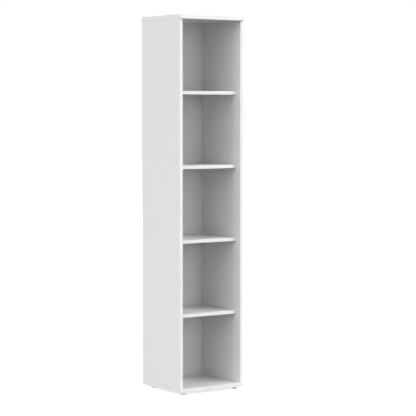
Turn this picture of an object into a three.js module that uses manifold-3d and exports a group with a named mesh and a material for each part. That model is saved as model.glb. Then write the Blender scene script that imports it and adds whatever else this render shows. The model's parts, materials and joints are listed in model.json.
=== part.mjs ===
// A tall, narrow, open bookcase with four adjustable shelves.
// Millimetres, +Z up. The front faces -Y, left is -X, and the origin is on the floor
// at the middle of the footprint.
import * as THREE from 'three';
import { mergeVertices } from 'three/addons/utils/BufferGeometryUtils.js';
import Module from 'manifold-3d';

const wasm = await Module();
wasm.setup();

// Overall sizes
const overallWidth = 400;
const overallDepth = 365;
const overallHeight = 1954;

// Boards
const topThickness = 22;
const baseThickness = 22;
const sideThickness = 18;
const shelfThickness = 18;
const backThickness = 3;
const edgingThickness = 2;
const sideSetback = 10; // front edges of the sides, behind those of the top and base
const shelfSetback = 37; // front edges of the shelves, behind those of the sides
const backRebateInSides = 9; // how far the back panel reaches into each board's rear edge
const backRebateInTopAndBase = 11;

// Clearances
const gap = 0.3; // between pieces that touch
const shelfEndClearance = 1; // between a shelf and each side
const shelfRearClearance = 1.5; // between a shelf and the back

// Shelves and the holes for their pins
const compartments = 5;
const holePitch = 32;
const spareHoles = 1; // above, and as many below, each pin
const pinShankRadius = 2.5;
const pinShankLength = 8;
const pinHeadRadius = 3.5;
const pinHeadLength = 8;
const pinChamfer = 0.6;
const pinFrontInset = 32; // pin centre behind the shelf's front edge
const pinRearInset = 26; // pin centre before the shelf's rear edge

// Cam locks, their bolts and the dowels between the sides and the top and base
const camRadius = 7.5;
const boltInset = 9; // bolt axis from the side's inner face
const camBehindBolt = 3.5; // depth of the cam past the bolt's axis
const camInset = 34; // cam centre from the end of the side
const camFrontInset = 52; // cam centre from the front and rear edges of the side
const camRearInset = 52;
const camSlotHalfWidth = 4;
const screwSlotLength = 8;
const screwSlotWidth = 1.4;
const screwSlotDepth = 2;
const boltHeadRadius = 3.3;
const boltNeckRadius = 1.7;
const boltShaftRadius = 3.2;
const boltTaper = 0.7; // how far in the ball head's shoulders are, of its radius
const boltThreadRadius = 2.6;
const boltThreadCover = 11; // board left beyond the end of the bolt's thread
const dowelRadius = 4;
const dowelInSide = 18;
const dowelCover = 10; // board left beyond the end of the dowel

// Levelling feet
const footHeight = 12; // from the floor to the underside of the base
const footPadRadius = 12.5;
const footPadThickness = 9.5;
const footPadChamfer = 1;
const footStemRadius = 4;
const footStemCover = 8; // board left above the end of the stem
const footStemRoom = 2.5; // free bore above the stem, so that the foot can be screwed in
const footSideInset = 36;
const footFrontInset = 36;
const footRearInset = 58;

// How finely round things are divided
const pinSides = 12;
const camSides = 20;
const boltSides = 12;
const dowelSides = 12;
const footSides = 24;

// Places that follow from the sizes above
const halfWidth = overallWidth / 2;
const frontY = -overallDepth / 2;
const rearY = overallDepth / 2;
const baseBottom = footHeight;
const baseTop = baseBottom + baseThickness;
const topBottom = overallHeight - topThickness;
const sideBottom = baseTop + gap;
const sideHeight = topBottom - baseTop - 2 * gap;
const sideFrontY = frontY + sideSetback;
const sideInnerX = halfWidth - sideThickness;
const sideMiddleX = halfWidth - sideThickness / 2;
const boltX = sideInnerX + boltInset;
const camDepth = boltInset + camBehindBolt;
const backFrontY = rearY - backThickness;
const shelfFrontY = sideFrontY + shelfSetback;
const shelfRearY = backFrontY - shelfRearClearance;
const shelfHalfWidth = sideInnerX - shelfEndClearance;
const pinLineYs = { front: shelfFrontY + pinFrontInset, rear: shelfRearY - pinRearInset };
const camLineYs = { front: sideFrontY + camFrontInset, rear: rearY - camRearInset };
const dowelY = (sideFrontY + rearY) / 2;

// The shelves share the height out evenly, in whole steps of the hole pitch.
const innerSpan = topBottom - baseBottom;
const shelfPitch = Math.round(innerSpan / compartments / holePitch) * holePitch;
const shelfUndersides = [];
for (let i = 1; i < compartments; i++) {
  shelfUndersides.push(baseBottom + i * shelfPitch);
}

const white = { color: 0xf4f4f4, roughness: 0.55, metalness: 0 };
const finishes = {
  board: new THREE.MeshStandardMaterial(white),
  edging: new THREE.MeshStandardMaterial({ ...white, roughness: 0.45 }),
  back: new THREE.MeshStandardMaterial({ ...white, roughness: 0.65 }),
  steel: new THREE.MeshStandardMaterial({ color: 0xc9cbcd, roughness: 0.3, metalness: 1 }),
  zinc: new THREE.MeshStandardMaterial({ color: 0xb9bbbd, roughness: 0.42, metalness: 1 }),
  beech: new THREE.MeshStandardMaterial({ color: 0xd8b98c, roughness: 0.7, metalness: 0 }),
  footPlastic: new THREE.MeshStandardMaterial({ color: 0xd2d3d4, roughness: 0.5, metalness: 0 }),
};

// ---- Basic shapes

function block(x0, x1, y0, y1, z0, z1) {
  const shape = new THREE.BoxGeometry(x1 - x0, y1 - y0, z1 - z0);
  return shape.translate((x0 + x1) / 2, (y0 + y1) / 2, (z0 + z1) / 2);
}

function rodAlongX(radius, x0, x1, y, z, sides) {
  const shape = new THREE.CylinderGeometry(radius, radius, Math.abs(x1 - x0), sides);
  return shape.rotateZ(Math.PI / 2).translate((x0 + x1) / 2, y, z);
}

function rodAlongZ(radius, x, y, z0, z1, sides) {
  const shape = new THREE.CylinderGeometry(radius, radius, Math.abs(z1 - z0), sides);
  return shape.rotateX(Math.PI / 2).translate(x, y, (z0 + z1) / 2);
}

// A turned piece. The outline is a list of [radius, height] from the bottom to the top.
function turned(outline, sides) {
  const points = outline.map(([radius, height]) => new THREE.Vector2(radius, height));
  return new THREE.LatheGeometry(points, sides).rotateX(Math.PI / 2);
}

function solidOf(geometry) {
  const bare = geometry.clone();
  bare.deleteAttribute('normal');
  bare.deleteAttribute('uv');
  const merged = mergeVertices(bare);
  return new wasm.Manifold(new wasm.Mesh({
    numProp: 3,
    vertProperties: new Float32Array(merged.attributes.position.array),
    triVerts: new Uint32Array(merged.index.array),
  }));
}

function geometryOf(solid) {
  const mesh = solid.getMesh();
  const geometry = new THREE.BufferGeometry();
  geometry.setAttribute('position', new THREE.BufferAttribute(new Float32Array(mesh.vertProperties), 3));
  geometry.setIndex(new THREE.BufferAttribute(new Uint32Array(mesh.triVerts), 1));
  geometry.computeVertexNormals();
  return geometry;
}

function cutFrom(stock, cutters) {
  let solid = solidOf(stock);
  for (const cutter of cutters) {
    solid = solid.subtract(solidOf(cutter));
  }
  return geometryOf(solid);
}

const bookcase = new THREE.Group();

function addPiece(name, geometry, finish, x, y, z) {
  const piece = new THREE.Mesh(geometry, finish);
  piece.name = name;
  piece.position.set(x, y, z);
  bookcase.add(piece);
  return piece;
}

// ---- Where the fittings go, shared by the boards and by the fittings themselves

const hands = { left: -1, right: 1 };
const ends = {
  // The joint between the sides and the board that closes each end. "up" points out of the side.
  base: { boardFace: baseTop, up: -1, thickness: baseThickness },
  top: { boardFace: topBottom, up: 1, thickness: topThickness },
};
const footYs = { front: frontY + footFrontInset, rear: rearY - footRearInset };
const footX = halfWidth - footSideInset;
const pinDrop = gap + pinHeadRadius; // pin centre below the shelf's underside
const reach = 1; // how far a cutter runs past the face that it opens

const boltLengthInBoard = (end) => end.thickness - boltThreadCover;
const dowelLengthInBoard = (end) => end.thickness - dowelCover;
const footStemLength = baseThickness - footStemCover;

// ---- Boards

// The sides stand in their own frame: x = 0 in the middle of the thickness, z = 0 at the lower end.
function sidePanel(hand) {
  const half = sideThickness / 2;
  const innerX = -hand * half;
  const intoBoard = hand;
  const inwards = (distance) => innerX + intoBoard * distance;
  const cutters = [];

  const rebateX = [innerX - intoBoard * reach, inwards(backRebateInSides)].sort((a, b) => a - b);
  const rebateFrontY = backFrontY - gap;
  cutters.push(block(...rebateX, rebateFrontY, rearY + reach, -reach, sideHeight + reach));

  for (const underside of shelfUndersides) {
    for (const pinY of Object.values(pinLineYs)) {
      for (let step = -spareHoles; step <= spareHoles; step++) {
        const z = underside - pinDrop + step * holePitch - sideBottom;
        const holeEnd = inwards(pinShankLength + gap);
        cutters.push(rodAlongX(pinShankRadius + gap, inwards(-reach), holeEnd, pinY, z, pinSides));
      }
    }
  }

  for (const end of Object.values(ends)) {
    const endZ = end.up > 0 ? sideHeight : 0;
    const camZ = endZ - end.up * camInset;
    const outside = endZ + end.up * reach;
    for (const camY of Object.values(camLineYs)) {
      const boreEnd = inwards(camDepth + gap);
      cutters.push(rodAlongX(camRadius + gap, inwards(-reach), boreEnd, camY, camZ, camSides));
      cutters.push(rodAlongZ(boltShaftRadius + gap, inwards(boltInset), camY, camZ, outside, boltSides));
    }
    const dowelEnd = endZ - end.up * (dowelInSide + gap);
    cutters.push(rodAlongZ(dowelRadius + gap, 0, dowelY, dowelEnd, outside, dowelSides));
  }

  const boardFrontY = sideFrontY + edgingThickness + gap;
  return cutFrom(block(-half, half, boardFrontY, rearY, 0, sideHeight), cutters);
}

// The top and the base, in their own frame: z = 0 at the face that the sides meet.
function endBoard(end) {
  const frontEdge = frontY + edgingThickness + gap;
  const faces = [0, end.up * end.thickness].sort((a, b) => a - b);
  const stock = block(-halfWidth, halfWidth, frontEdge, rearY, ...faces);
  const cutters = [];

  const rebateHalf = sideInnerX + backRebateInSides;
  const rebateZ = [-end.up * reach, end.up * backRebateInTopAndBase].sort((a, b) => a - b);
  cutters.push(block(-rebateHalf, rebateHalf, backFrontY - gap, rearY + reach, ...rebateZ));

  for (const hand of Object.values(hands)) {
    const start = -end.up * reach;
    for (const camY of Object.values(camLineYs)) {
      const threadEnd = end.up * (boltLengthInBoard(end) + gap);
      cutters.push(rodAlongZ(boltThreadRadius + gap, hand * boltX, camY, start, threadEnd, boltSides));
    }
    const dowelEnd = end.up * (dowelLengthInBoard(end) + gap);
    cutters.push(rodAlongZ(dowelRadius + gap, hand * sideMiddleX, dowelY, start, dowelEnd, dowelSides));
  }

  if (end === ends.base) {
    for (const hand of Object.values(hands)) {
      for (const footY of Object.values(footYs)) {
        const boreTop = -baseThickness + footStemLength + footStemRoom;
        const boreStart = -baseThickness - reach;
        cutters.push(rodAlongZ(footStemRadius + gap, hand * footX, footY, boreStart, boreTop, boltSides));
      }
    }
  }
  return cutFrom(stock, cutters);
}

// An edging strip lies along a front edge, in front of its board.
function edgingStrip(halfLength, height) {
  return block(-halfLength, halfLength, 0, edgingThickness, 0, height);
}

for (const [name, hand] of Object.entries(hands)) {
  addPiece(`side_${name}`, sidePanel(hand), finishes.board, hand * sideMiddleX, 0, sideBottom);
  const strip = edgingStrip(sideThickness / 2, sideHeight);
  addPiece(`side_${name}_edging`, strip, finishes.edging, hand * sideMiddleX, sideFrontY, sideBottom);
}

for (const [name, end] of Object.entries(ends)) {
  addPiece(`${name}_board`, endBoard(end), finishes.board, 0, 0, end.boardFace);
  const strip = edgingStrip(halfWidth, end.thickness);
  const stripZ = Math.min(end.boardFace, end.boardFace + end.up * end.thickness);
  addPiece(`${name}_board_edging`, strip, finishes.edging, 0, frontY, stripZ);
}

const backHalfWidth = sideInnerX + backRebateInSides - gap;
const backBottom = baseTop - backRebateInTopAndBase + gap;
const backTop = topBottom + backRebateInTopAndBase - gap;
const backSheet = block(-backHalfWidth, backHalfWidth, 0, backThickness, 0, backTop - backBottom);
addPiece('back_panel', backSheet, finishes.back, 0, backFrontY, backBottom);

// ---- Shelves, with their edging and their pins

// A pin lies along +x: its head starts at x = 0, and its shank points the other way, into the side.
function shelfPin() {
  const outline = [
    [0, -pinShankLength],
    [pinShankRadius - pinChamfer, -pinShankLength],
    [pinShankRadius, -pinShankLength + pinChamfer],
    [pinShankRadius, gap],
    [pinHeadRadius, gap],
    [pinHeadRadius, pinHeadLength - pinChamfer],
    [pinHeadRadius - pinChamfer, pinHeadLength],
    [0, pinHeadLength],
  ];
  return turned(outline, pinSides).rotateY(Math.PI / 2);
}

shelfUndersides.forEach((underside, index) => {
  const name = `shelf_${index + 1}`;
  const boardFront = edgingThickness + gap;
  const boardDepth = shelfRearY - shelfFrontY;
  const board = block(-shelfHalfWidth, shelfHalfWidth, boardFront, boardDepth, 0, shelfThickness);
  addPiece(name, board, finishes.board, 0, shelfFrontY, underside);
  const strip = edgingStrip(shelfHalfWidth, shelfThickness);
  addPiece(`${name}_edging`, strip, finishes.edging, 0, shelfFrontY, underside);

  for (const [handName, hand] of Object.entries(hands)) {
    for (const [lineName, pinY] of Object.entries(pinLineYs)) {
      const pin = addPiece(`${name}_pin_${handName}_${lineName}`, shelfPin(), finishes.steel,
        hand * sideInnerX, pinY, underside - pinDrop);
      pin.rotation.z = hand > 0 ? Math.PI : 0;
    }
  }
});

// ---- Fittings between the sides and the top and base

// A cam is a drum along x, with its face at x = 0 and the drum behind it. The slot lets the
// head of the bolt in from the rim (towards +z) and from the back.
function camLock() {
  const drum = rodAlongX(camRadius, 0, camDepth, 0, 0, camSides);
  const slotFront = boltInset - camSlotHalfWidth;
  const half = camSlotHalfWidth;
  const across = screwSlotLength / 2;
  const narrow = screwSlotWidth / 2;
  return cutFrom(drum, [
    block(slotFront, camDepth + reach, -half, half, -half, camRadius + reach),
    block(-reach, screwSlotDepth, -across, across, -narrow, narrow),
    block(-reach, screwSlotDepth, -narrow, narrow, -across, across),
  ]);
}

// A bolt stands along +z, with z = 0 where the side meets the board. The thread is above that.
function camBolt(threadLength) {
  const shoulder = boltHeadRadius * boltTaper;
  const headTop = -camInset + boltHeadRadius;
  const neckTop = -camInset + camRadius;
  const outline = [
    [0, -camInset - boltHeadRadius],
    [shoulder, -camInset - shoulder],
    [boltHeadRadius, -camInset],
    [shoulder, -camInset + shoulder],
    [boltNeckRadius, headTop],
    [boltNeckRadius, neckTop],
    [boltShaftRadius, neckTop + gap],
    [boltShaftRadius, -gap],
    [boltThreadRadius, 0],
    [boltThreadRadius, threadLength - boltThreadRadius],
    [0, threadLength],
  ];
  return turned(outline, boltSides);
}

for (const [endName, end] of Object.entries(ends)) {
  for (const [handName, hand] of Object.entries(hands)) {
    for (const [lineName, camY] of Object.entries(camLineYs)) {
      const place = `${endName}_${handName}_${lineName}`;
      const camZ = end.boardFace - end.up * (camInset + gap);
      const cam = addPiece(`cam_${place}`, camLock(), finishes.zinc, hand * sideInnerX, camY, camZ);
      const bolt = addPiece(`cam_bolt_${place}`, camBolt(boltLengthInBoard(end)), finishes.steel,
        hand * boltX, camY, end.boardFace);
      cam.rotation.set(end.up > 0 ? 0 : Math.PI, 0, 0);
      bolt.rotation.set(end.up > 0 ? 0 : Math.PI, 0, 0);
      if (hand < 0) {
        cam.rotation.set(cam.rotation.x, 0, Math.PI);
      }
    }
    const dowelLength = dowelInSide + dowelLengthInBoard(end);
    const dowel = rodAlongZ(dowelRadius, 0, 0, 0, dowelLength, dowelSides);
    const lowEnd = end.boardFace - (end.up > 0 ? dowelInSide : dowelLengthInBoard(end));
    addPiece(`dowel_${endName}_${handName}`, dowel, finishes.beech, hand * sideMiddleX, dowelY, lowEnd);
  }
}

// ---- Levelling feet

// A foot is turned in one outline: a round pad on the floor, with a screw stem above it.
function levellingFoot() {
  const stemTop = footHeight + footStemLength;
  const outline = [
    [0, 0],
    [footPadRadius - footPadChamfer, 0],
    [footPadRadius, footPadChamfer],
    [footPadRadius, footPadThickness - footPadChamfer],
    [footPadRadius - footPadChamfer, footPadThickness],
    [footStemRadius, footPadThickness],
    [footStemRadius, stemTop - footPadChamfer],
    [footStemRadius - footPadChamfer, stemTop],
    [0, stemTop],
  ];
  return turned(outline, footSides);
}

for (const [handName, hand] of Object.entries(hands)) {
  for (const [lineName, footY] of Object.entries(footYs)) {
    addPiece(`foot_${lineName}_${handName}`, levellingFoot(), finishes.footPlastic, hand * footX, footY, 0);
  }
}

export default bookcase;
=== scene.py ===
import bpy
import bmesh
import json
import math
from mathutils import Matrix, Vector


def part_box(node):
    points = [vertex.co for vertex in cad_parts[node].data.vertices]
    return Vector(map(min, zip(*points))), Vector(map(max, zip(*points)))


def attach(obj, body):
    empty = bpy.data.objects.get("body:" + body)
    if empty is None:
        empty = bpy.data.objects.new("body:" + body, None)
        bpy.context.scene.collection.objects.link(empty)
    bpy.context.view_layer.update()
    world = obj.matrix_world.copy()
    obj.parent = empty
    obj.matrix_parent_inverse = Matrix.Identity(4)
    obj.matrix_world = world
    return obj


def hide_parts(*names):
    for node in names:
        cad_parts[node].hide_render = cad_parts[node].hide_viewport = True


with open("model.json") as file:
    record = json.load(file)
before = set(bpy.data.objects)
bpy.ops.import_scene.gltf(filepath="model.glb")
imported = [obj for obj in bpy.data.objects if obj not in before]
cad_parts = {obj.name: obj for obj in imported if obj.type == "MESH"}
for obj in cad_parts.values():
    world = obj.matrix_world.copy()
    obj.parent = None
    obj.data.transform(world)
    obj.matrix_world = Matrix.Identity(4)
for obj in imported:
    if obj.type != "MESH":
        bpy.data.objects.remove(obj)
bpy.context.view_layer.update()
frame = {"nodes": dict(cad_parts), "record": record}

mm = 0.001
hands = {"left": -1, "right": 1}
lines = ("front", "rear")
ends = ("base", "top")
shelfNames = [f"shelf_{i}" for i in (1, 2, 3, 4)]
print("frame loaded:", len(frame["nodes"]), "CAD nodes")


# Finishes. Every pattern is noise on Object coordinates, its scale for metres. The clouds drive the
# colour from dark to light, the gloss drives the roughness, and each bump (depth in mm) lies over
# the one before it.

def grey(value):
    return (value, value, value)


finishRecipes = {
    "board": {
        "name": "white melamine", "colour": grey(0.70), "roughness": 0.42,
        "clouds": {"scale": 9, "detail": 3}, "dark": grey(0.686), "light": grey(0.70),
        "gloss": {"scale": 26, "detail": 4}, "smoothest": 0.39, "roughest": 0.45,
        "bumps": [
            {"scale": 240, "detail": 2, "depth": 0.14, "strength": 0.5},     # flow of the resin
            {"scale": 1100, "detail": 1, "depth": 0.07, "strength": 0.6},    # pearl of the press plate
        ],
    },
    "edging": {
        "name": "white edging strip", "colour": grey(0.775), "roughness": 0.34,
        "clouds": {"scale": 14, "detail": 2}, "dark": grey(0.763375), "light": grey(0.775),
        "gloss": {"scale": 60, "detail": 3}, "smoothest": 0.28, "roughest": 0.42,
        "bumps": [{"scale": 900, "detail": 1, "depth": 0.02, "strength": 0.5}],     # scraper marks
    },
    "back": {
        "name": "white hardboard", "colour": grey(0.68), "roughness": 0.55,
        "clouds": {"scale": 7, "detail": 4}, "dark": grey(0.6596), "light": grey(0.68),
        "gloss": {"scale": 40, "detail": 4}, "smoothest": 0.46, "roughest": 0.66,
        "bumps": [
            {"scale": 300, "detail": 4, "depth": 0.12, "strength": 0.6},     # fibres under the lacquer
            {"scale": 700, "detail": 1, "stretch": (1, 1, 0.25), "depth": 0.06, "strength": 0.5},   # roller
        ],
    },
    "caps": {
        "name": "white cap plastic", "colour": grey(0.70), "roughness": 0.4,
        "clouds": {"scale": 60, "detail": 2}, "dark": grey(0.686), "light": grey(0.70),
        "gloss": {"scale": 300, "detail": 2}, "smoothest": 0.34, "roughest": 0.46,
        "bumps": [{"scale": 2600, "detail": 1, "depth": 0.02, "strength": 0.4}],    # mould texture
    },
    "pin_steel": {
        "name": "zinc plated steel", "colour": (0.66, 0.67, 0.68), "roughness": 0.28, "metallic": 1.0,
        "clouds": {"scale": 320, "detail": 3}, "dark": (0.60, 0.61, 0.63), "light": (0.70, 0.71, 0.71),
        "gloss": {"scale": 500, "detail": 3}, "smoothest": 0.2, "roughest": 0.36,
        "bumps": [      # turning marks
            {"scale": 2400, "detail": 1, "stretch": (1, 0.02, 0.02), "depth": 0.02, "strength": 0.6},
        ],
    },
    "cam_zinc": {
        "name": "die cast zinc", "colour": (0.52, 0.53, 0.54), "roughness": 0.45, "metallic": 1.0,
        "clouds": {"scale": 500, "detail": 4}, "dark": (0.44, 0.45, 0.46), "light": (0.56, 0.57, 0.58),
        "gloss": {"scale": 700, "detail": 3}, "smoothest": 0.36, "roughest": 0.56,
        "bumps": [{"scale": 1300, "detail": 3, "depth": 0.05, "strength": 0.7}],    # skin of the casting
    },
    "beech": {
        "name": "beech", "colour": (0.62, 0.42, 0.25), "roughness": 0.6,
        "clouds": {"scale": 900, "detail": 4, "stretch": (1, 1, 0.06)},
        "dark": (0.52, 0.33, 0.19), "light": (0.68, 0.48, 0.30),
        "gloss": {"scale": 600, "detail": 2}, "smoothest": 0.52, "roughest": 0.7,
        "bumps": [      # pores along the dowel
            {"scale": 1400, "detail": 2, "stretch": (1, 1, 0.05), "depth": 0.08, "strength": 0.8},
        ],
    },
    "foot_plastic": {
        "name": "light grey foot plastic", "colour": grey(0.84), "roughness": 0.45,
        "clouds": {"scale": 90, "detail": 3}, "dark": grey(0.81), "light": grey(0.85),
        "gloss": {"scale": 400, "detail": 2}, "smoothest": 0.38, "roughest": 0.52,
        "bumps": [{"scale": 2200, "detail": 1, "depth": 0.04, "strength": 0.5}],    # spark-eroded mould
    },
}


def link(material, output, target):
    material.node_tree.links.new(output, target)


def newFinish(name, colour, roughness, metallic=0.0):
    material = bpy.data.materials.new(name)
    material.use_nodes = True
    material.diffuse_color = (*colour, 1)
    shader = material.node_tree.nodes["Principled BSDF"]
    shader.inputs["Base Color"].default_value = (*colour, 1)
    shader.inputs["Roughness"].default_value = roughness
    shader.inputs["Metallic"].default_value = metallic
    return material


def noisePattern(material, pattern):
    nodes = material.node_tree.nodes
    coordinates = nodes.new("ShaderNodeTexCoord")
    mapping = nodes.new("ShaderNodeMapping")
    mapping.inputs["Scale"].default_value = pattern.get("stretch", (1, 1, 1))
    noise = nodes.new("ShaderNodeTexNoise")
    noise.inputs["Scale"].default_value = pattern["scale"]
    noise.inputs["Detail"].default_value = pattern["detail"]
    link(material, coordinates.outputs["Object"], mapping.inputs["Vector"])
    link(material, mapping.outputs["Vector"], noise.inputs["Vector"])
    return noise.outputs["Fac"]


# Noise mostly lies from 0.3 to 0.7, so that part is spread over the whole range from low to high.
def between(material, factor, low, high, fromLow=0.3, fromHigh=0.7):
    remap = material.node_tree.nodes.new("ShaderNodeMapRange")
    remap.inputs["From Min"].default_value = fromLow
    remap.inputs["From Max"].default_value = fromHigh
    remap.inputs["To Min"].default_value = low
    remap.inputs["To Max"].default_value = high
    link(material, factor, remap.inputs["Value"])
    return remap.outputs["Result"]


def varyRoughness(material, factor, low, high):
    shader = material.node_tree.nodes["Principled BSDF"]
    link(material, between(material, factor, low, high), shader.inputs["Roughness"])


def varyColour(material, factor, dark, light):
    mix = material.node_tree.nodes.new("ShaderNodeMix")
    mix.data_type = "RGBA"
    mix.inputs["A"].default_value = (*dark, 1)
    mix.inputs["B"].default_value = (*light, 1)
    link(material, between(material, factor, 0, 1), mix.inputs["Factor"])
    link(material, mix.outputs["Result"], material.node_tree.nodes["Principled BSDF"].inputs["Base Color"])


def addBump(material, factor, depth, strength):
    nodes = material.node_tree.nodes
    shader = nodes["Principled BSDF"]
    bump = nodes.new("ShaderNodeBump")
    bump.inputs["Distance"].default_value = depth
    bump.inputs["Strength"].default_value = strength
    link(material, factor, bump.inputs["Height"])
    if shader.inputs["Normal"].links:      # lay this bump over the one before it
        link(material, shader.inputs["Normal"].links[0].from_socket, bump.inputs["Normal"])
    link(material, bump.outputs["Normal"], shader.inputs["Normal"])


def makeFinish(recipe):
    material = newFinish(recipe["name"], recipe["colour"], recipe["roughness"], recipe.get("metallic", 0.0))
    varyColour(material, noisePattern(material, recipe["clouds"]), recipe["dark"], recipe["light"])
    varyRoughness(material, noisePattern(material, recipe["gloss"]), recipe["smoothest"], recipe["roughest"])
    for bump in recipe["bumps"]:
        addBump(material, noisePattern(material, bump), bump["depth"] * mm, bump["strength"])
    return material


finishes = {slotName: makeFinish(recipe) for slotName, recipe in finishRecipes.items()}

for row in frame["record"]["subparts"]:
    node = frame["nodes"][row["node"]]
    node.data.materials.clear()
    node.data.materials.append(finishes[row["material_slot"]])
print("finishes made:", len(finishes))


# Shapes. Every new piece is a bmesh, finished and placed before it becomes an object.

weldDistance = 0.002 * mm
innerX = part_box("side_right")[0].x      # inner face of each side, left and right alike


def makePiece(name, mesh, finish, body, replaced=()):
    data = bpy.data.meshes.new(name)
    bmesh.ops.recalc_face_normals(mesh, faces=mesh.faces)
    mesh.to_mesh(data)
    mesh.free()
    data.materials.append(finishes[finish])
    piece = bpy.data.objects.new(name, data)
    bpy.context.scene.collection.objects.link(piece)
    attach(piece, body)
    if replaced:
        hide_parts(*replaced)


def soften(mesh, edges, width, segments):
    bmesh.ops.bevel(mesh, geom=edges, offset=width, segments=segments, profile=0.5,
                    affect="EDGES", material=-1, clamp_overlap=True)


def sharpEdges(mesh, degrees):
    limit = math.radians(degrees)
    return [edge for edge in mesh.edges if len(edge.link_faces) == 2 and edge.calc_face_angle() > limit]


def boxMesh(low, high):
    mesh = bmesh.new()
    bmesh.ops.create_cube(mesh, size=1)
    bmesh.ops.scale(mesh, vec=high - low, verts=mesh.verts)
    bmesh.ops.translate(mesh, vec=(low + high) / 2, verts=mesh.verts)
    return mesh


# A mesh turned about +Z. The outline is (radius, height) pairs, and both its ends are on the axis.
def turnedMesh(outline, sides):
    mesh = bmesh.new()
    points = [mesh.verts.new((radius, 0, height)) for radius, height in outline]
    rim = [mesh.edges.new(pair) for pair in zip(points, points[1:])]
    bmesh.ops.spin(mesh, geom=points + rim, cent=(0, 0, 0), axis=(0, 0, 1), angle=2 * math.pi,
                   steps=sides, use_merge=True)
    bmesh.ops.remove_doubles(mesh, verts=mesh.verts, dist=weldDistance)
    bmesh.ops.recalc_face_normals(mesh, faces=mesh.faces)
    return mesh


# The same from a dictionary whose profile gives shares of its radius, and heights in mm.
def turnedProfile(shape):
    outline = [(share * shape["radius"], height * mm) for share, height in shape["profile"]]
    return turnedMesh(outline, shape["sides"])


def placed(mesh, matrix):
    bmesh.ops.transform(mesh, matrix=matrix, verts=mesh.verts)
    return mesh


# Stands a turned mesh on the inner face of a side: its +Z points into the bookcase.
def onWall(mesh, hand, y, z):
    inward = Matrix.Rotation(-hand * math.pi / 2, 4, "Y")
    return placed(mesh, Matrix.Translation((hand * innerX, y, z)) @ inward)


def joined(meshes):
    whole = bmesh.new()
    for part in meshes:
        data = bpy.data.meshes.new("part")
        part.to_mesh(data)
        part.free()
        whole.from_mesh(data)
        bpy.data.meshes.remove(data)
    return whole


def middle(node):
    low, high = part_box(node)
    return (low + high) / 2


# Boards keep their CAD shape. Their arrises are broken slightly by modifiers.

boards = {"arris": 0.35 * mm, "arrisSegments": 2, "weld": 0.01 * mm, "sharpFrom": 60}


def breakArrises(node):
    weld = node.modifiers.new("weld", "WELD")
    weld.merge_threshold = boards["weld"]
    bevel = node.modifiers.new("arris", "BEVEL")
    bevel.width = boards["arris"]
    bevel.segments = boards["arrisSegments"]
    bevel.limit_method = "ANGLE"
    bevel.angle_limit = math.radians(boards["sharpFrom"])
    bevel.use_clamp_overlap = True
    bevel.harden_normals = False


for name in ["side_left", "side_right", "top_board", "base_board", "back_panel"] + shelfNames:
    breakArrises(frame["nodes"][name])
print("boards done")


# Edging strips: rounded along their two front edges, and drawn back to meet their board.

strips = {"round": 1.6 * mm, "roundSegments": 5, "seam": 0.25 * mm, "seamSegments": 1, "sharpFrom": 50,
          "toBoard": 0.27 * mm}


def edgingStrip(node, body, longAxis):
    low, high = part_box(node)
    high.y += strips["toBoard"]
    mesh = boxMesh(low, high)
    frontY = low.y + strips["seam"]
    rounded = [
        edge for edge in mesh.edges
        if all(vert.co.y < frontY for vert in edge.verts)
        and abs(edge.verts[0].co[longAxis] - edge.verts[1].co[longAxis]) > strips["round"]
    ]
    soften(mesh, rounded, strips["round"], strips["roundSegments"])
    soften(mesh, sharpEdges(mesh, strips["sharpFrom"]), strips["seam"], strips["seamSegments"])
    makePiece(f"{node}_strip", mesh, "edging", body, [node])


for name in ["top_board", "base_board"]:
    edgingStrip(f"{name}_edging", "case", 0)
for name in ["side_left", "side_right"]:
    edgingStrip(f"{name}_edging", "case", 2)
for name in shelfNames:
    edgingStrip(f"{name}_edging", f"{name}_board", 0)
print("edging strips done")


# Shelf pins: a turned head on a shank, with a groove round the head.

pin = {
    "sides": 28, "shankRadius": 2.5 * mm, "shankLength": 8 * mm,
    "grow": 0.2 * mm,                                    # how much the head is thicker than its CAD solid
    "grooveAt": 5.4 * mm, "grooveWidth": 0.9 * mm, "grooveDepth": 0.45 * mm, "grooveWall": 0.27 * mm,
    "round": 0.25 * mm, "roundSegments": 2, "sharpFrom": 70,
}


def shelfPin(node, hand):
    low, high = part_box(node)
    headRadius = (high.z - low.z) / 2 + pin["grow"]
    headLength = innerX - min(abs(low.x), abs(high.x))
    grooveRadius = headRadius - pin["grooveDepth"]
    grooveEnd = pin["grooveAt"] + pin["grooveWidth"]
    outline = [
        (0, -pin["shankLength"]),
        (pin["shankRadius"], -pin["shankLength"]),
        (pin["shankRadius"], 0),
        (headRadius, 0),
        (headRadius, pin["grooveAt"]),
        (grooveRadius, pin["grooveAt"] + pin["grooveWall"]),
        (grooveRadius, grooveEnd - pin["grooveWall"]),
        (headRadius, grooveEnd),
        (headRadius, headLength),
        (0, headLength),
    ]
    mesh = turnedMesh(outline, pin["sides"])
    soften(mesh, sharpEdges(mesh, pin["sharpFrom"]), pin["round"], pin["roundSegments"])
    centre = middle(node)
    onWall(mesh, hand, centre.y, centre.z)
    makePiece(f"{node}_turned", mesh, "pin_steel", "case", [node])


for name in shelfNames:
    for handName, hand in hands.items():
        for line in lines:
            shelfPin(f"{name}_pin_{handName}_{line}", hand)
print("shelf pins done")


# White plugs in the spare pin holes, one above and one below each pin.

plug = {
    "sides": 24, "radius": 4.0 * mm, "holePitch": 32 * mm,
    "profile": [
        (0, -5), (0.52, -5), (0.65, -4), (0.65, 0.02),                       # stem
        (1, 0.02), (1, 0.21), (0.93, 0.35), (0.6, 0.552), (0, 0.6),          # crowned head
    ],
}

for handName, hand in hands.items():
    plugs = []
    for name in shelfNames:
        for line in lines:
            centre = middle(f"{name}_pin_{handName}_{line}")
            for step in (-1, 1):
                plugs.append(onWall(turnedProfile(plug), hand, centre.y, centre.z + step * plug["holePitch"]))
    makePiece(f"hole_plugs_{handName}", joined(plugs), "caps", "case")
print("hole plugs done")


# Thin caps over the cam locks.

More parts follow.
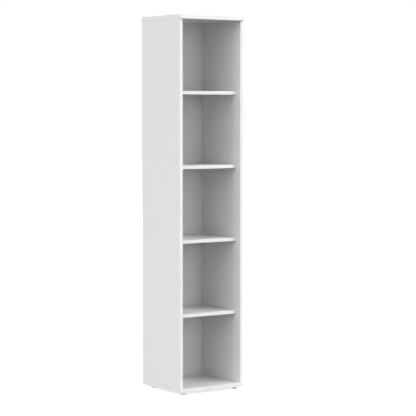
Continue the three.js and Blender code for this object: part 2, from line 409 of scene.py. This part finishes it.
cap = {
    "sides": 36, "radius": 8.6 * mm,
    "profile": [(0, 0.05), (1, 0.05), (1, 0.5), (0.95, 0.8), (0.75, 1.045), (0.4, 1.1), (0, 1.1)],
}

for end in ends:
    for handName, hand in hands.items():
        for line in lines:
            node = f"cam_{end}_{handName}_{line}"
            centre = middle(node)
            makePiece(f"{node}_cap", onWall(turnedProfile(cap), hand, centre.y, centre.z),
                      "caps", "case")
print("cam caps done")


# Nails round the edge of the back panel, and their flat heads.

nail = {
    "sides": 14, "radius": 2.1 * mm, "fromEdge": 4.5 * mm, "stepUp": 150 * mm, "stepAcross": 120 * mm,
    "profile": [(0, -1.2), (0.4, -1.2), (0.5, 0), (1, 0.02), (1, 0.21), (0.85, 0.35), (0, 0.35)],
}


def evenly(start, stop, step):
    count = max(1, round((stop - start) / step))
    return [start + (stop - start) * i / count for i in range(count + 1)]


backLow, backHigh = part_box("back_panel")
nailX = backHigh.x - nail["fromEdge"]
nailLowZ = backLow.z + nail["fromEdge"]
nailHighZ = backHigh.z - nail["fromEdge"]
nailPlaces = [
    (hand * nailX, z)
    for z in evenly(nailLowZ, nailHighZ, nail["stepUp"])
    for hand in hands.values()
]
nailPlaces += [
    (x, z)
    for x in evenly(-nailX, nailX, nail["stepAcross"])[1:-1]
    for z in (nailLowZ, nailHighZ)
]
toRear = Matrix.Rotation(-math.pi / 2, 4, "X")
nailHeads = [
    placed(turnedProfile(nail), Matrix.Translation((x, backHigh.y, z)) @ toRear)
    for x, z in nailPlaces
]
makePiece("back_nails", joined(nailHeads), "pin_steel", "case")
print("nails done")


# Levelling feet: a notched pad, with a threaded stem that goes up into the base.

foot = {
    "sides": 48, "padTop": 9.5 * mm,
    "rim": [(2, 0), (1.4, 0.5), (0.6, 0.7), (0, 1.4), (0, 8.7), (0.24, 9.26), (0.8, 9.5)],   # mm in, mm up
    "collar": 8 * mm, "collarSlope": 0.6 * mm, "collarDrop": 0.8 * mm,
    "notchDepth": 0.5 * mm, "notchInset": 0.25 * mm,
    "steepBelow": 0.1, "outerShare": 0.98,               # which faces make up the upright rim
    "stemSides": 20, "stemRadius": 3.9 * mm, "stemSeat": 0.02 * mm,
    "threadDepth": 0.5 * mm, "threadPitch": 1.25 * mm,
    "thread": [(0, 0.15), (1, 0.55), (1, 0.75), (0, 1.15)],      # share of the depth, mm up one turn
}


def footPad(node, body):
    low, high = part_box(node)
    radius = (high.x - low.x) / 2
    collarFloor = foot["padTop"] - foot["collarDrop"]
    outline = [(0, 0)]
    outline += [(radius - inset * mm, height * mm) for inset, height in foot["rim"]]
    outline += [
        (foot["collar"], foot["padTop"]),
        (foot["collar"] - foot["collarSlope"], collarFloor),
        (0, collarFloor),
    ]
    mesh = turnedMesh(outline, foot["sides"])
    rim = [
        face for face in mesh.faces
        if abs(face.normal.z) < foot["steepBelow"]
        and face.calc_center_median().to_2d().length > radius * foot["outerShare"]
    ]
    rim.sort(key=lambda face: math.atan2(face.calc_center_median().y, face.calc_center_median().x))
    bmesh.ops.inset_individual(mesh, faces=rim[::2], thickness=foot["notchInset"], depth=-foot["notchDepth"],
                               use_even_offset=True)
    centre = middle(node)
    placed(mesh, Matrix.Translation((centre.x, centre.y, 0)))
    makePiece(f"{node}_pad", mesh, "foot_plastic", body, [node])


def footStem(node, body):
    centre, top = middle(node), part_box(node)[1].z
    bottom = foot["padTop"] - foot["collarDrop"] + foot["stemSeat"]
    root = foot["stemRadius"] - foot["threadDepth"]
    turns = int((top - bottom) / foot["threadPitch"])
    outline = [(0, bottom), (root, bottom)]
    for i in range(turns):
        z = bottom + i * foot["threadPitch"]
        outline += [(root + share * foot["threadDepth"], z + rise * mm) for share, rise in foot["thread"]]
    outline += [(root, top), (0, top)]
    mesh = turnedMesh(outline, foot["stemSides"])
    placed(mesh, Matrix.Translation((centre.x, centre.y, 0)))
    makePiece(f"{node}_stem", mesh, "pin_steel", body)


for line in lines:
    for handName in hands:
        node = f"foot_{line}_{handName}"
        footPad(node, f"{node}_adjuster")
        footStem(node, f"{node}_adjuster")
print("feet done")


# Camera

view = {"place": (-4.957, -7.206, 1.479), "yaw": 35.04, "pitch": -3.44, "lens": 144.1, "sensor": 36,
        "farthest": 200}

camera = bpy.data.objects.new("camera", bpy.data.cameras.new("camera"))
camera.location = view["place"]
camera.rotation_euler = (math.radians(90 + view["pitch"]), 0, -math.radians(view["yaw"]))
camera.data.lens = view["lens"]
camera.data.sensor_width = view["sensor"]
camera.data.clip_end = view["farthest"]
bpy.context.scene.collection.objects.link(camera)
bpy.context.scene.camera = camera
print("camera done")


# Soft square lights stand round the bookcase and face its middle.

studio = {"distance": 16.0, "size": 8.0, "aim": Vector((0, 0, 1.0))}
softLights = {      # degrees round from the front, degrees up, watts
    "left low": (-90, 0, 256),
    "left": (-90, 15, 944),
    "front left": (-68, 15, 784),
    "front": (0, 5, 500),
    "front right": (30, 5, 560),
    "front right high": (35, 42, 1300),
    "overhead": (0, 87, 536),
    "right": (105, 10, 600),
    "rear": (180, 20, 600),
}
for name, (around, up, watts) in softLights.items():
    around, up = math.radians(around), math.radians(up)
    outward = Vector((math.sin(around) * math.cos(up), -math.cos(around) * math.cos(up), math.sin(up)))
    lamp = bpy.data.objects.new(name, bpy.data.lights.new(name, "AREA"))
    lamp.data.size = studio["size"]
    lamp.data.energy = watts
    lamp.location = studio["aim"] + outward * studio["distance"]
    lamp.rotation_euler = (-outward).to_track_quat("-Z", "Y").to_euler()
    bpy.context.scene.collection.objects.link(lamp)


# The backdrop is white to look at, and lights the bookcase more from above than from below.

backdrop = {"seen": 1.0, "above": 0.486, "below": 0.105, "horizon": 0.03}

world = bpy.data.worlds.new("studio")
world.use_nodes = True
sky = world.node_tree.nodes["Background"]
sky.inputs["Color"].default_value = (1, 1, 1, 1)
direction = world.node_tree.nodes.new("ShaderNodeTexCoord")
upAndDown = world.node_tree.nodes.new("ShaderNodeSeparateXYZ")
link(world, direction.outputs["Generated"], upAndDown.inputs["Vector"])
ambient = between(world, upAndDown.outputs["Z"], backdrop["below"], backdrop["above"],
                  -backdrop["horizon"], backdrop["horizon"])
lightPath = world.node_tree.nodes.new("ShaderNodeLightPath")
strength = world.node_tree.nodes.new("ShaderNodeMix")
link(world, lightPath.outputs["Is Camera Ray"], strength.inputs["Factor"])
link(world, ambient, strength.inputs["A"])
strength.inputs["B"].default_value = backdrop["seen"]
link(world, strength.outputs["Result"], sky.inputs["Strength"])
bpy.context.scene.world = world


# A white floor that doesn't light the undersides of the shelves.

ground = {"reach": 30, "white": 0.85, "roughness": 0.9, "glow": 0.7}

floorMesh = bmesh.new()
bmesh.ops.create_grid(floorMesh, x_segments=1, y_segments=1, size=ground["reach"])
floorData = bpy.data.meshes.new("floor")
floorMesh.to_mesh(floorData)
floorMesh.free()
floor = bpy.data.objects.new("floor", floorData)
bpy.context.scene.collection.objects.link(floor)
floor.visible_diffuse = False
floorFinish = newFinish("studio floor", grey(ground["white"]), ground["roughness"])
floorShader = floorFinish.node_tree.nodes["Principled BSDF"]
floorShader.inputs["Emission Color"].default_value = (1, 1, 1, 1)
floorShader.inputs["Emission Strength"].default_value = ground["glow"]
floorData.materials.append(floorFinish)
bpy.context.scene.view_settings.view_transform = "Standard"
print("light and floor done")

bpy.context.view_layer.update()
print("scene done")
